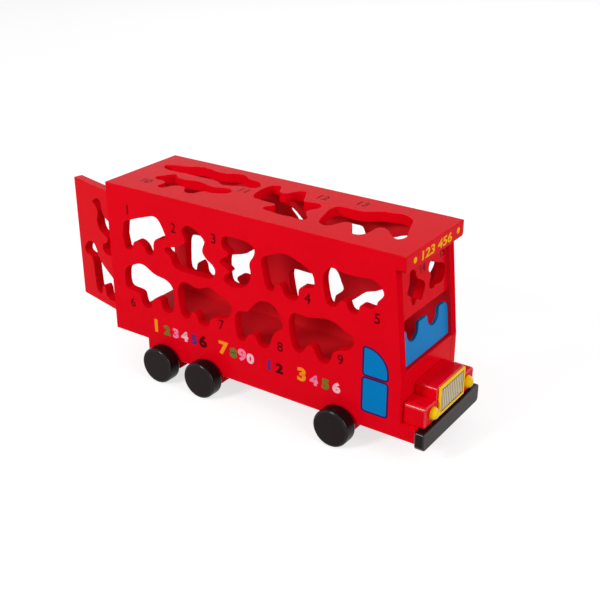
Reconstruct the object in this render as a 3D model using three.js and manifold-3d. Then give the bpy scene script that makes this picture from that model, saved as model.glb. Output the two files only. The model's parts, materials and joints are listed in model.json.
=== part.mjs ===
// Wooden sorter bus: plywood body with animal cut-outs on a rolling chassis, with a hinged rear door.
// Millimetres, +X forward, +Z up. Lengths along X start at the rear edge of the side panels.
import * as THREE from 'three';
import { mergeVertices } from 'three/addons/utils/BufferGeometryUtils.js';
import Module from 'manifold-3d';

const wasm = await Module();
wasm.setup();

// Boards and body
const BOARD = 9;
const BODY_WIDTH = 100;
const BODY_LENGTH = 322;
const SIDE_HEIGHT = 143.3;
const CHASSIS_THICKNESS = 14;
const CHASSIS_REAR = 41;
const NOSE_LENGTH = 15.5;

// Front of the body
const HEADER_HEIGHT = 14.5;
const HEADER_CORNER = 3;
const RAKE_START = 44.5;
const FRONT_RECESS = 3;
const LOWER_PANEL_HEIGHT = 46.5;
const WINDSCREEN_HEIGHT = 32.6;
const WINDSCREEN_THICKNESS = 3;
const WINDSCREEN_CORNER = 8;
const WINDOW_GAP = 9.5;
const DIP_RADIUS = 9.8;
const DIP_LIP = 2.6;
const DIP_WALL = 0.8;
const DIP_SPACING = 36.3;
const DIP_OFFSET = 4.4;

// Wheels and axles
const WHEEL_DIAMETER = 36;
const WHEEL_WIDTH = 14;
const WHEEL_EDGE = 2;
const WHEEL_GAP = 1.5;
const WHEEL_SOCKET = 9;
const AXLE_DIAMETER = 6;
const AXLE_HEADROOM = 0.5;
const REAR_AXLE = 64.3;
const AXLE_PITCH = 51.8;
const FRONT_AXLE = 262.9;
const BLOCK_LENGTH = 24;
const BLOCK_BELOW_AXLE = 8;
const BLOCK_INSET = 5;

// Bonnet, fenders, grille, headlights and bumper
const BONNET_LENGTH = 21.5;
const BONNET_WIDTH = 51;
const BONNET_HEIGHT = 30;
const BONNET_EDGE = 2;
const FENDER_INSET = 5;
const FENDER_HEIGHT = 19.5;
const FENDER_EDGE = 3;
const GRILLE_WIDTH = 46.5;
const GRILLE_HEIGHT = 27.5;
const GRILLE_DEPTH = 2;
const GRILLE_BORDER = 2.6;
const GRILLE_BACKING = 0.8;
const GRILLE_RIB = 0.8;
const GRILLE_RIBS = 12;
const GRILLE_GROOVE = 1;
const HEADLIGHT_RADIUS = 5.9;
const HEADLIGHT_HEIGHT = 10;
const HEADLIGHT_SPACING = 64.5;
const PEG_DIAMETER = 4;
const PEG_LENGTH = 6;
const BUMPER_DEPTH = 9.6;
const BUMPER_HEIGHT = 17;
const BUMPER_DROP = 1;
const BUMPER_OVERHANG = 2;
const BUMPER_CORNER = 4;

// Rear door
const DOOR_OPEN_DEGREES = 77;
const DOOR_SIDE_GAP = 0.8;
const DOOR_END_GAP = 0.8;
const RAIL_HEIGHT = 6.2;
const PIN_DIAMETER = 5;
const PIN_SEAT = 7;

// Solid rims left around the cut-outs of each board
const RIGHT_RIMS = { start: 16.5, end: 19, foot: 30, top: 13.3 };
const LEFT_RIMS = { start: 15.5, end: 21.5, foot: 30.5, top: 13.5 };
const ROOF_RIMS = { start: 14, end: 12.4, foot: 17, top: 11.5 };
const FRONT_RIMS = { start: 11.7, end: 2.2, foot: 8, top: 15 };
const DOOR_RIMS = { start: 8.5, end: 7.9, foot: 8, top: 12.2 };

// Clearances
const GLUE = 0.1;
const FIT = 0.3;

// Facets
const CURVE_STEPS = 2;
const CORNER_STEPS = 4;
const WHEEL_SIDES = 32;
const DOWEL_SIDES = 16;
const DOME_STEPS = 5;

// Heights above the ground
const axleZ = WHEEL_DIAMETER / 2;
const chassisBottom = axleZ + AXLE_DIAMETER / 2 + AXLE_HEADROOM;
const chassisTop = chassisBottom + CHASSIS_THICKNESS;
const bodyBottom = chassisTop + GLUE;
const bodyTop = bodyBottom + SIDE_HEIGHT;
const roofTop = bodyTop + GLUE + BOARD;
const floorTop = bodyBottom + BOARD;

// Lengths and widths shared by several pieces
const halfWidth = BODY_WIDTH / 2;
const innerHalf = halfWidth - BOARD;
const headerBack = BODY_LENGTH - BOARD;
const chassisFront = BODY_LENGTH + NOSE_LENGTH;
const noseBack = BODY_LENGTH + GLUE;
const noseFront = noseBack + BONNET_LENGTH;
const bumperFront = chassisFront + GLUE + BUMPER_DEPTH;
const lampBack = noseFront + GLUE;
const busFront = Math.max(bumperFront, lampBack + HEADLIGHT_RADIUS);
const rakeBottom = bodyBottom + RAKE_START;
const rakeTop = roofTop - HEADER_HEIGHT;
const rakeAngle = Math.atan((BOARD + GLUE) / (rakeTop - rakeBottom));

// The door turns on pins half a board from its hinge edge
const doorBottom = floorTop + DOOR_END_GAP;
const railBottom = bodyTop - RAIL_HEIGHT;
const doorTop = railBottom - DOOR_END_GAP;
const pivotX = BOARD / 2;
const pivotY = -innerHalf + DOOR_SIDE_GAP + BOARD / 2;
const doorReach = innerHalf - DOOR_SIDE_GAP - pivotY;
const doorAngle = THREE.MathUtils.degToRad(90 + DOOR_OPEN_DEGREES);
const doorRear = pivotX + doorReach * Math.cos(doorAngle) - (BOARD / 2) * Math.sin(doorAngle);

// Cut-outs of the right side, drawn along from its rear edge and up from its foot, then fitted inside its rims
const RIGHT_SIDE_CUTS = [
  [[20, 90], [20, 116], [28, 120], [40, 124.5], [50, 127.8], [58, 130], [63, 128.5], [67, 123.5], [70, 117.5],
    [71.7, 113], [69, 110], [62, 109], [57.5, 105.5], [56, 100], [55.5, 93], [53, 90], [47.5, 90], [45, 95],
    [40.5, 99], [36, 100.2], [32, 99], [29.5, 94], [27.5, 90]],
  [[69.5, 100.5], [74, 103], [82, 105], [90, 108.5], [95.5, 113], [94, 118], [91.5, 122.5], [95, 128],
    [100, 129.7], [107, 128], [113, 124], [118, 118.5], [116, 113.5], [115, 108.5], [117, 104.5], [121, 101],
    [126, 98], [129, 93.5], [128, 88.5], [124, 84], [115, 83], [100, 82.8], [88, 82.8], [81, 84.5], [78, 89.5],
    [76, 94.5], [71, 97]],
  [[137, 121.5], [139, 127.5], [145, 129.8], [155, 130], [165, 129.3], [172, 126.5], [174, 122.5], [172, 116.5],
    [168.5, 111.5], [168, 106.5], [169, 101.5], [168.5, 95.5], [165, 88.5], [158, 84], [150, 82.3], [143, 83],
    [138.5, 86.5], [140, 91.5], [145, 95.5], [142, 98.5], [136.5, 101], [135, 104], [138, 107.5], [145, 112],
    [143, 115], [139, 117]],
  [[180.5, 114.5], [182, 118.5], [188, 122], [196, 125.5], [204, 127.8], [211, 127], [220, 124], [229, 120],
    [234, 116], [236, 109.5], [235, 104], [229, 102], [223, 101.5], [220, 97.5], [219.5, 90.5], [217, 87],
    [209, 86.8], [205, 89.5], [202.5, 95.5], [199, 97.5], [196, 95], [193.5, 90.5], [190, 89], [186.5, 90.5],
    [184, 96.5], [182, 106.5]],
  [[244.5, 114.5], [246, 120.5], [249, 124.5], [254, 126.8], [260, 125.5], [270, 124.5], [280, 125], [290, 126],
    [297, 124], [301.5, 119.5], [303, 115], [300.5, 111], [297.5, 107.5], [296, 102.5], [291, 99.5], [285, 100],
    [281, 99.5], [280, 95.5], [278, 91.5], [272, 91], [269, 94.5], [267.5, 98.5], [264, 99.5], [260.5, 97.5],
    [259, 93.5], [254, 91], [249, 92.5], [246.5, 99.5], [245, 107.5]],
  [[17, 50.5], [16.5, 59.5], [18, 67.5], [23, 72], [29, 74.5], [35, 77.2], [41, 77.7], [46, 76], [51, 73],
    [58, 70.5], [66, 69.5], [72, 67.5], [76.5, 63], [78, 56.5], [78, 46.5], [76.5, 38.5], [71, 34.5], [65, 35],
    [62, 39.5], [61.5, 44.5], [57, 46.5], [52, 44.5], [50, 39.5], [48, 34.5], [43, 32.8], [38, 34.5], [36, 40.5],
    [34.5, 45.5], [28, 47], [20, 47.5]],
  [[83, 59.5], [84.5, 66.5], [89, 71.5], [95, 72.5], [102, 70.8], [108, 70.2], [114, 72.2], [120, 74.5],
    [126, 73.2], [131, 70.2], [138, 69.3], [144, 66], [147, 60.5], [145.5, 54.5], [140, 48.5], [132, 46],
    [124, 44.5], [121, 40.5], [118, 34.5], [112, 33.3], [107, 35.5], [105, 41.5], [101, 44], [98, 41.5],
    [96, 36.5], [91, 34.8], [86.5, 37.5], [84.5, 46.5]],
  [[150.5, 53.5], [153, 58.5], [158, 61], [164, 62], [169, 67], [174, 73], [180, 77], [186, 77.8], [192, 76.5],
    [197, 71.5], [200, 65], [203.5, 59.5], [201, 55], [195, 50.5], [191.5, 44.5], [189, 36.5], [185, 31.5],
    [179, 30.5], [175, 34.5], [172.5, 39.5], [168, 40.5], [164, 37.5], [161, 32], [156.5, 30], [152.5, 32.5],
    [150.5, 41.5]],
  [[209.5, 62.5], [211, 70.5], [215, 74.8], [222, 75.3], [229, 74.5], [237, 76.2], [246, 78.2], [255, 77.8],
    [262, 75], [268, 71.5], [273, 70], [276, 65], [274, 58.5], [268, 54], [260, 51.5], [255, 47.5], [253, 39.5],
    [249, 35], [242, 35.5], [238, 40.5], [235, 46.5], [231, 48.5], [227, 44.5], [223, 38.5], [218, 37.2],
    [213.5, 41.5], [211, 51.5]],
];

// Cut-outs of the left side, drawn in the same directions
const LEFT_SIDE_CUTS = [
  [[20, 88.5], [20.5, 104], [24, 111.5], [32, 115.5], [43, 117.5], [53, 117], [60, 113.5], [64, 107.5], [62, 103],
    [57, 100], [55, 92], [52.5, 85.5], [47, 84.5], [43.5, 90], [39.5, 95], [34, 94.5], [31, 89], [28, 84.5],
    [22.5, 84.5]],
  [[74, 96.5], [77, 106.5], [80, 114.5], [84, 122.5], [89, 127], [95.5, 125.5], [98.5, 118.5], [104, 111.5],
    [110, 106.5], [112.5, 99.5], [109.5, 93.5], [108, 87.5], [103, 84.5], [95, 84.5], [90, 88.5], [85, 85.5],
    [79, 85], [75, 89.5]],
  [[121, 92.5], [122, 100.5], [126, 106.5], [134, 109.5], [143, 110.5], [149.5, 111.5], [152.5, 114], [150.5, 118.5],
    [145.5, 123], [143.5, 127], [146.5, 129.6], [151, 129.8], [158, 124.5], [164, 118.5], [166, 110.5],
    [162.5, 102.5], [160.5, 91], [157, 85], [151, 84.5], [147.5, 89.5], [144, 94.5], [139.5, 93.5], [136.5, 87],
    [131, 84], [125, 85.5]],
  [[179, 99.5], [181, 104.5], [186, 109], [195, 111.5], [203, 112.5], [207.5, 115], [208.8, 119.5], [209.5, 124.5],
    [213.5, 127.7], [221, 128.4], [227.5, 127.8], [230.2, 122.5], [233, 117], [236, 111.5], [233, 105],
    [228.5, 100], [227, 91], [223, 85], [216.5, 85], [213, 91.5], [208, 97.5], [200, 97.5], [196, 91],
    [191.5, 85], [185, 85], [181, 90.5]],
  [[247, 104.5], [249, 115.5], [254, 122.5], [262, 125.5], [272, 129.3], [283, 128], [294, 122.5], [300.5, 114],
    [299.5, 106], [296.5, 99], [294.5, 90.5], [290, 86], [284.5, 87], [282, 93.5], [277, 98], [268, 98.5],
    [260, 96.5], [257, 88.5], [253, 84.5], [248.5, 86.5], [246.5, 94.5]],
  [[16, 34.5], [15.5, 47], [16, 59.5], [17.5, 68], [22.5, 73], [30, 75.5], [42, 75], [52, 71.5], [59, 65.5],
    [62, 58.5], [60, 52.5], [55.5, 48.5], [54.5, 40.5], [53, 33.5], [49, 31.5], [42, 31.5], [38.5, 35.5],
    [37.5, 42.5], [34, 46.5], [30.5, 43.5], [29, 36.5], [26.5, 32], [20, 31.5]],
  [[69, 44.5], [69, 56.5], [71.5, 62.5], [77, 64.7], [84, 66.7], [95, 70.5], [103, 77], [109, 79], [115.5, 77.5],
    [119, 71.5], [119, 62.5], [115.5, 55.5], [113, 44.5], [111, 33.5], [106, 31], [100, 32.5], [97.5, 40.5],
    [92, 44], [86, 44], [82.5, 41.5], [82.5, 38], [85.5, 35], [84.5, 32], [78, 30.5], [71.5, 32], [69.5, 37.5]],
  [[146, 59.5], [148, 65.5], [153, 68], [164, 68], [176, 68.3], [185, 71.5], [190, 77.5], [196, 80.5], [202, 76.5],
    [206, 67.5], [208.5, 61.5], [205, 56.5], [200, 52.5], [198, 42.5], [196, 34.5], [191, 32.5], [186, 35.5],
    [184.5, 44.5], [180, 50.5], [172, 52.5], [164, 51.5], [158.5, 47.5], [157, 39.5], [155.5, 34.5], [151.5, 34],
    [149.5, 39.5], [147.5, 49.5]],
  [[212, 46.5], [217, 51], [225, 57.7], [233, 64.5], [243, 67.8], [251, 72], [260, 74.5], [268, 71.5], [273, 64.5],
    [274, 56.5], [270.5, 49.5], [266.5, 39.5], [263, 33], [257, 32], [252.5, 35.5], [250, 42.5], [245, 44.5],
    [238, 43], [232, 38.5], [229, 33.5], [223, 31.5], [216, 33.5], [212.5, 39.5]],
];

// Cut-outs of the roof: along from its rear edge, across from its right edge
const ROOF_CUTS = [
  [[14, 70], [18, 73], [25, 75.5], [33, 77.5], [38, 79.5], [43, 83], [50, 85], [58, 84.5], [66, 82.5], [74, 82],
    [81, 83], [86, 86.5], [92, 88.5], [98, 88.3], [103, 85], [107, 81.8], [112, 81], [119, 80], [125, 76],
    [128.5, 71], [128, 66], [124, 62.7], [117, 62], [110, 60.5], [104, 57], [98, 54.7], [92, 57], [86, 60.3],
    [76, 61], [50, 61], [27, 60.5], [19, 62.5], [15.5, 66]],
  [[30, 39.5], [34, 44], [37, 49], [40, 54], [44, 52], [48, 48], [55, 46.5], [62, 47.5], [70, 49.5], [78, 48.5],
    [86, 46], [94, 45], [101, 47.5], [108, 49.5], [113, 47.5], [115.5, 43], [114, 38], [108, 33.5], [100, 31.5],
    [93, 30.5], [91, 26], [89, 21], [84, 19.3], [79, 20.5], [76, 25], [73, 29], [67, 30.5], [61, 28.5], [58, 22.5],
    [56, 18], [52, 17], [48, 20], [49, 26], [47.5, 31], [42, 33], [35, 33], [31, 35.5]],
  [[134.5, 70], [136.5, 78.5], [141, 82], [146, 80], [149, 73.5], [152, 68.5], [157, 67.5], [161, 70], [163.5, 76],
    [166.5, 80.5], [171, 82], [175, 78], [178, 72], [181, 65.5], [184.5, 60.5], [189, 60.5], [195, 62.5],
    [200.5, 61.5], [204.5, 57.5], [205, 53], [202.5, 48], [200.5, 42.5], [202, 37.5], [206.5, 32.5], [210.5, 27.5],
    [210, 23], [205, 22], [198, 22.5], [190, 21.7], [182, 22], [174, 23], [167, 24], [164, 27.5], [165.5, 33],
    [169, 37.5], [166.5, 40.5], [159, 41.3], [149, 42], [141.5, 43.5], [137, 49.5], [135, 58]],
  [[214.5, 58], [215.5, 64], [219.5, 67.3], [226, 67.5], [234, 66.8], [242, 68], [249, 72], [254.5, 76.5],
    [260, 78.2], [267, 79.7], [273, 81], [280, 79], [286, 74.5], [290, 68], [293, 58], [297, 47.5], [300.3, 40.5],
    [300.5, 33.5], [297.5, 29], [293, 30.5], [287.5, 35.5], [281.5, 41.5], [276, 44.8], [271.8, 43], [270.3, 36],
    [270, 26.5], [267, 20.8], [262, 18.8], [257.5, 22], [254, 29], [250, 36], [246, 39.3], [241.5, 37.5],
    [238.5, 31.5], [236, 25], [231, 21.7], [226, 23], [221.5, 28.5], [219, 37], [216.5, 46], [214.8, 52]],
];

// Cut-outs of the front upper panel: across from the body's right face, up from the panel's lower edge
const FRONT_CUTS = [
  [[21, 21.5], [25, 26.5], [26.5, 32.5], [28, 38], [32.5, 39], [36.5, 35.5], [38, 30], [43, 26.5], [48.5, 23.5],
    [51.5, 20], [51, 16], [48, 12], [46, 8.5], [42, 8], [38.5, 11], [36, 11], [33, 8], [29.5, 8], [28, 12.5],
    [26.5, 17], [23, 19]],
  [[59, 28.5], [61, 34], [65.5, 35.5], [70, 32.5], [76, 29.8], [82, 28], [86.5, 25], [88.5, 21], [87, 16.5],
    [84, 12.5], [80, 10.5], [75, 11], [70, 12], [66, 10.3], [61.5, 11], [58.5, 14.5], [59.5, 18.5], [62.5, 21.5],
    [62, 25]],
];

// Cut-outs of the rear door: out from its pins, up from its lower edge
const DOOR_CUTS = [
  [[45, 108.5], [40, 112.5], [34, 114.3], [30.5, 111], [29.5, 105], [26, 98.5], [20, 95.5], [12.5, 93], [8.5, 86],
    [9, 77], [13, 70], [14.5, 62], [20, 58.5], [28, 58.3], [33, 62.5], [31, 68], [25, 70.5], [22.5, 75], [28, 78.5],
    [34.5, 80], [38.5, 85], [38.8, 93], [36.8, 100.5], [39.5, 105]],
  [[68, 49.8], [65.5, 56.5], [59.5, 62], [54, 64], [49, 62.5], [45.5, 58], [43, 52.5], [39, 46.5], [30, 40.5],
    [21, 35.5], [15, 31], [12.5, 25], [13.5, 16], [16.5, 9.5], [22, 8], [29, 8], [33.5, 11], [34.5, 17.5],
    [38, 20.8], [40.3, 16], [42, 10.5], [47, 8.5], [50.5, 11.5], [52, 20.5], [53, 34.5], [54, 43.5], [57, 47.3],
    [62.5, 47.5]],
];

// Paints
const RED = new THREE.MeshStandardMaterial({ color: 0xd8000f, roughness: 0.35, metalness: 0 });
const BLUE = new THREE.MeshStandardMaterial({ color: 0x187dc3, roughness: 0.4, metalness: 0 });
const YELLOW = new THREE.MeshStandardMaterial({ color: 0xebbe14, roughness: 0.35, metalness: 0 });
const BEIGE = new THREE.MeshStandardMaterial({ color: 0xbeb496, roughness: 0.5, metalness: 0 });
const BLACK = new THREE.MeshStandardMaterial({ color: 0x23201e, roughness: 0.45, metalness: 0 });
const BARE_WOOD = new THREE.MeshStandardMaterial({ color: 0xd8b98a, roughness: 0.6, metalness: 0 });

// A shape is drawn in X and Y and pushed along Z; these turn it to stand as a side board or a front board
const SIDE_PLANE = new THREE.Matrix4().makeBasis(
  new THREE.Vector3(1, 0, 0),
  new THREE.Vector3(0, 0, 1),
  new THREE.Vector3(0, -1, 0),
);
const FRONT_PLANE = new THREE.Matrix4().makeBasis(
  new THREE.Vector3(0, 1, 0),
  new THREE.Vector3(0, 0, 1),
  new THREE.Vector3(1, 0, 0),
);
const FLAT_PLANE = new THREE.Matrix4();

const bus = new THREE.Group();

// One named piece, added to the bus or to one of its turned groups
function addPiece(name, geometry, material, place = [0, 0, 0], parent = bus) {
  const piece = new THREE.Mesh(geometry, material);
  piece.name = name;
  piece.position.set(...place);
  parent.add(piece);
}

// A straight prism of a shape, standing in one of the planes above
function prism(shape, depth, plane) {
  const geometry = new THREE.ExtrudeGeometry(shape, { depth, bevelEnabled: false, curveSegments: CORNER_STEPS });
  return geometry.applyMatrix4(plane);
}

// A rectangle from one corner to the other
function rectangle(left, bottom, right, top) {
  const shape = new THREE.Shape();
  shape.moveTo(left, bottom);
  shape.lineTo(right, bottom);
  shape.lineTo(right, top);
  shape.lineTo(left, top);
  shape.closePath();
  return shape;
}

// A rectangle on the centre line whose lower corners, upper corners or both are rounded
function roundedBar(halfSpan, bottom, top, lowerRadius, upperRadius) {
  const shape = new THREE.Shape();
  shape.moveTo(-halfSpan + lowerRadius, bottom);
  shape.lineTo(halfSpan - lowerRadius, bottom);
  if (lowerRadius > 0) {
    shape.absarc(halfSpan - lowerRadius, bottom + lowerRadius, lowerRadius, -Math.PI / 2, 0);
  }
  shape.lineTo(halfSpan, top - upperRadius);
  if (upperRadius > 0) {
    shape.absarc(halfSpan - upperRadius, top - upperRadius, upperRadius, 0, Math.PI / 2);
  }
  shape.lineTo(-halfSpan + upperRadius, top);
  if (upperRadius > 0) {
    shape.absarc(-halfSpan + upperRadius, top - upperRadius, upperRadius, Math.PI / 2, Math.PI);
  }
  shape.lineTo(-halfSpan, bottom + lowerRadius);
  if (lowerRadius > 0) {
    shape.absarc(-halfSpan + lowerRadius, bottom + lowerRadius, lowerRadius, Math.PI, Math.PI * 1.5);
  }
  return shape;
}

// Smooth closed outlines through a few points each, spread over a board from corner to corner inside its rims
function cutOuts(drawings, rims, left, bottom, right, top) {
  const drawn = new THREE.Box2().setFromPoints(drawings.flat().map(([a, b]) => new THREE.Vector2(a, b)));
  const start = left + rims.start;
  const foot = bottom + rims.foot;
  const stretchX = (right - rims.end - start) / (drawn.max.x - drawn.min.x);
  const stretchY = (top - rims.top - foot) / (drawn.max.y - drawn.min.y);
  return drawings.map((points) => {
    const corners = points.map(([a, b]) => new THREE.Vector3(
      start + (a - drawn.min.x) * stretchX,
      foot + (b - drawn.min.y) * stretchY,
      0,
    ));
    const curve = new THREE.CatmullRomCurve3(corners, true, 'centripetal');
    const outline = curve.getPoints(points.length * CURVE_STEPS);
    outline.pop();
    return new THREE.Path(outline.map((point) => new THREE.Vector2(point.x, point.y)));
  });
}

// A geometry as a closed solid that can be cut or joined
function solidOf(geometry) {
  const plain = geometry.clone();
  plain.deleteAttribute('normal');
  plain.deleteAttribute('uv');
  const merged = mergeVertices(plain);
  const triVerts = new Uint32Array(merged.index.array);
  return new wasm.Manifold(new wasm.Mesh({ numProp: 3, vertProperties: merged.attributes.position.array, triVerts }));
}

// A cut or joined solid as a geometry again
function geometryOf(solid) {
  const mesh = solid.getMesh();
  const geometry = new THREE.BufferGeometry();
  geometry.setAttribute('position', new THREE.BufferAttribute(mesh.vertProperties, 3));
  geometry.setIndex(new THREE.BufferAttribute(mesh.triVerts, 1));
  geometry.computeVertexNormals();
  return geometry;
}

// An upright round pin or the tool for its hole
function uprightPin(diameter, bottom, top, x, y) {
  const pin = new THREE.CylinderGeometry(diameter / 2, diameter / 2, top - bottom, DOWEL_SIDES);
  pin.rotateX(Math.PI / 2);
  return pin.translate(x, y, (bottom + top) / 2);
}

// Quarter-circle points of a turned edge, from one angle to the next
function turnedEdge(radius, height, edge, fromAngle) {
  const points = [];
  for (let step = 0; step <= 2; step += 1) {
    const angle = fromAngle + (step * Math.PI) / 4;
    points.push(new THREE.Vector2(radius + edge * Math.cos(angle), height + edge * Math.sin(angle)));
  }
  return points;
}

// Chassis board with its three axle blocks
function buildChassis() {
  const board = rectangle(CHASSIS_REAR, -halfWidth, chassisFront, halfWidth);
  addPiece('chassis', prism(board, CHASSIS_THICKNESS, FLAT_PLANE), RED, [0, 0, chassisBottom]);
  const groove = AXLE_DIAMETER / 2 + FIT;
  const blockTop = chassisBottom - GLUE - axleZ;
  const blockHalf = BLOCK_LENGTH / 2;
  const profile = new THREE.Shape();
  profile.moveTo(-blockHalf, -BLOCK_BELOW_AXLE);
  profile.lineTo(blockHalf, -BLOCK_BELOW_AXLE);
  profile.lineTo(blockHalf, blockTop);
  profile.lineTo(groove, blockTop);
  profile.lineTo(groove, 0);
  profile.absarc(0, 0, groove, 0, Math.PI, true);
  profile.lineTo(-groove, blockTop);
  profile.lineTo(-blockHalf, blockTop);
  profile.closePath();
  const blockSide = halfWidth - BLOCK_INSET;
  for (const [name, axleX] of axlePlaces) {
    addPiece(`${name}_axle_block`, prism(profile, blockSide * 2, SIDE_PLANE), RED, [axleX, blockSide, axleZ]);
  }
}

// Axle dowels, each with a wheel glued on both ends
function buildWheels() {
  const wheelInner = halfWidth + WHEEL_GAP;
  const axleHalf = wheelInner + WHEEL_SOCKET - FIT;
  const axleRadius = AXLE_DIAMETER / 2;
  const socket = axleRadius + FIT;
  const rim = WHEEL_DIAMETER / 2 - WHEEL_EDGE;
  const profile = [
    new THREE.Vector2(0, WHEEL_SOCKET),
    new THREE.Vector2(socket, WHEEL_SOCKET),
    new THREE.Vector2(socket, 0),
    ...turnedEdge(rim, WHEEL_EDGE, WHEEL_EDGE, -Math.PI / 2),
    ...turnedEdge(rim, WHEEL_WIDTH - WHEEL_EDGE, WHEEL_EDGE, 0),
    new THREE.Vector2(0, WHEEL_WIDTH),
  ];
  for (const [name, axleX] of axlePlaces) {
    const axle = new THREE.CylinderGeometry(axleRadius, axleRadius, axleHalf * 2, DOWEL_SIDES);
    addPiece(`${name}_axle`, axle, BARE_WOOD, [axleX, 0, axleZ]);
    const leftWheel = new THREE.LatheGeometry(profile, WHEEL_SIDES);
    addPiece(`${name}_left_wheel`, leftWheel, BLACK, [axleX, wheelInner, axleZ]);
    const rightWheel = new THREE.LatheGeometry(profile, WHEEL_SIDES).rotateX(Math.PI);
    addPiece(`${name}_right_wheel`, rightWheel, BLACK, [axleX, -wheelInner, axleZ]);
  }
}

// Floor, sides and roof, with the rail that carries the upper door pin
function buildBody() {
  const inside = innerHalf - GLUE;
  const pinHole = PIN_DIAMETER + FIT * 2;
  const floor = prism(rectangle(0, -inside, headerBack - GLUE, inside), BOARD, FLAT_PLANE);
  const floorHole = uprightPin(pinHole, BOARD - PIN_SEAT - FIT, BOARD + FIT, pivotX, pivotY);
  addPiece('floor_board', geometryOf(solidOf(floor).subtract(solidOf(floorHole))), RED, [0, 0, bodyBottom]);

  const rail = prism(rectangle(0, -inside, BOARD, inside), RAIL_HEIGHT - GLUE, FLAT_PLANE);
  const railHole = uprightPin(pinHole, -FIT, RAIL_HEIGHT + FIT, pivotX, pivotY);
  addPiece('rear_top_rail', geometryOf(solidOf(rail).subtract(solidOf(railHole))), RED, [0, 0, railBottom]);

  const sides = [
    ['right', RIGHT_SIDE_CUTS, RIGHT_RIMS, -innerHalf],
    ['left', LEFT_SIDE_CUTS, LEFT_RIMS, halfWidth],
  ];
  for (const [hand, cuts, rims, faceY] of sides) {
    const panel = new THREE.Shape();
    panel.moveTo(0, 0);
    panel.lineTo(BODY_LENGTH, 0);
    panel.lineTo(BODY_LENGTH, RAKE_START);
    panel.lineTo(headerBack - GLUE, rakeTop - bodyBottom);
    panel.lineTo(headerBack - GLUE, SIDE_HEIGHT);
    panel.lineTo(0, SIDE_HEIGHT);
    panel.closePath();
    panel.holes = cutOuts(cuts, rims, 0, 0, BODY_LENGTH, SIDE_HEIGHT);
    addPiece(`${hand}_side_panel`, prism(panel, BOARD, SIDE_PLANE), RED, [0, faceY, bodyBottom]);
  }

  const roofFront = headerBack - GLUE;
  const roof = rectangle(0, -halfWidth, roofFront, halfWidth);
  roof.holes = cutOuts(ROOF_CUTS, ROOF_RIMS, 0, -halfWidth, roofFront, halfWidth);
  addPiece('roof_board', prism(roof, BOARD, FLAT_PLANE), RED, [0, 0, bodyTop + GLUE]);
}

// Header, lower panel and the two boards that lean back with the side panels' front edges
function buildFront() {
  const header = roundedBar(halfWidth, 0, HEADER_HEIGHT, HEADER_CORNER, 0);
  addPiece('header_board', prism(header, BOARD, FRONT_PLANE), RED, [headerBack, 0, rakeTop]);
  const inside = innerHalf - GLUE;
  const lower = rectangle(-inside, 0, inside, LOWER_PANEL_HEIGHT);
  addPiece('front_lower_panel', prism(lower, BOARD, FRONT_PLANE), RED, [headerBack, 0, bodyBottom]);

  const leaning = new THREE.Group();
  leaning.position.set(BODY_LENGTH, 0, rakeBottom);
  leaning.rotation.y = -rakeAngle;
  bus.add(leaning);
  const panelBack = FRONT_RECESS + BOARD;
  const screenBack = FRONT_RECESS + WINDSCREEN_THICKNESS;
  const leanInside = innerHalf - FIT;
  const sine = Math.sin(rakeAngle);
  const cosine = Math.cos(rakeAngle);
  const screenFoot = (bodyBottom + LOWER_PANEL_HEIGHT + FIT - rakeBottom + screenBack * sine) / cosine;
  const screenTop = screenFoot + WINDSCREEN_HEIGHT;
  const panelFoot = screenTop + WINDOW_GAP;
  const panelTop = (bodyTop - FIT - rakeBottom + FRONT_RECESS * sine) / cosine;

  const screen = new THREE.Shape();
  const cornerY = leanInside - WINDSCREEN_CORNER;
  const cornerZ = screenTop - WINDSCREEN_CORNER;
  const lipZ = screenTop - DIP_LIP;
  const lipReach = DIP_RADIUS + DIP_LIP;
  screen.moveTo(-leanInside, screenFoot);
  screen.lineTo(leanInside, screenFoot);
  screen.absarc(cornerY, cornerZ, WINDSCREEN_CORNER, 0, Math.PI / 2);
  for (const dipY of [DIP_SPACING / 2 - DIP_OFFSET, -DIP_SPACING / 2 - DIP_OFFSET]) {
    screen.absarc(dipY + lipReach, lipZ, DIP_LIP, Math.PI / 2, Math.PI);
    screen.absarc(dipY, lipZ - DIP_WALL, DIP_RADIUS, 0, Math.PI, true);
    screen.absarc(dipY - lipReach, lipZ, DIP_LIP, 0, Math.PI / 2);
  }
  screen.lineTo(-leanInside, screenTop);
  screen.closePath();
  const screenBoard = prism(screen, WINDSCREEN_THICKNESS, FRONT_PLANE);
  addPiece('windscreen_board', screenBoard, BLUE, [-screenBack, 0, 0], leaning);

  const upper = rectangle(-leanInside, panelFoot, leanInside, panelTop);
  upper.holes = cutOuts(FRONT_CUTS, FRONT_RIMS, -leanInside, panelFoot, leanInside, panelTop);
  addPiece('front_upper_panel', prism(upper, BOARD, FRONT_PLANE), RED, [-panelBack, 0, 0], leaning);
}

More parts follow.
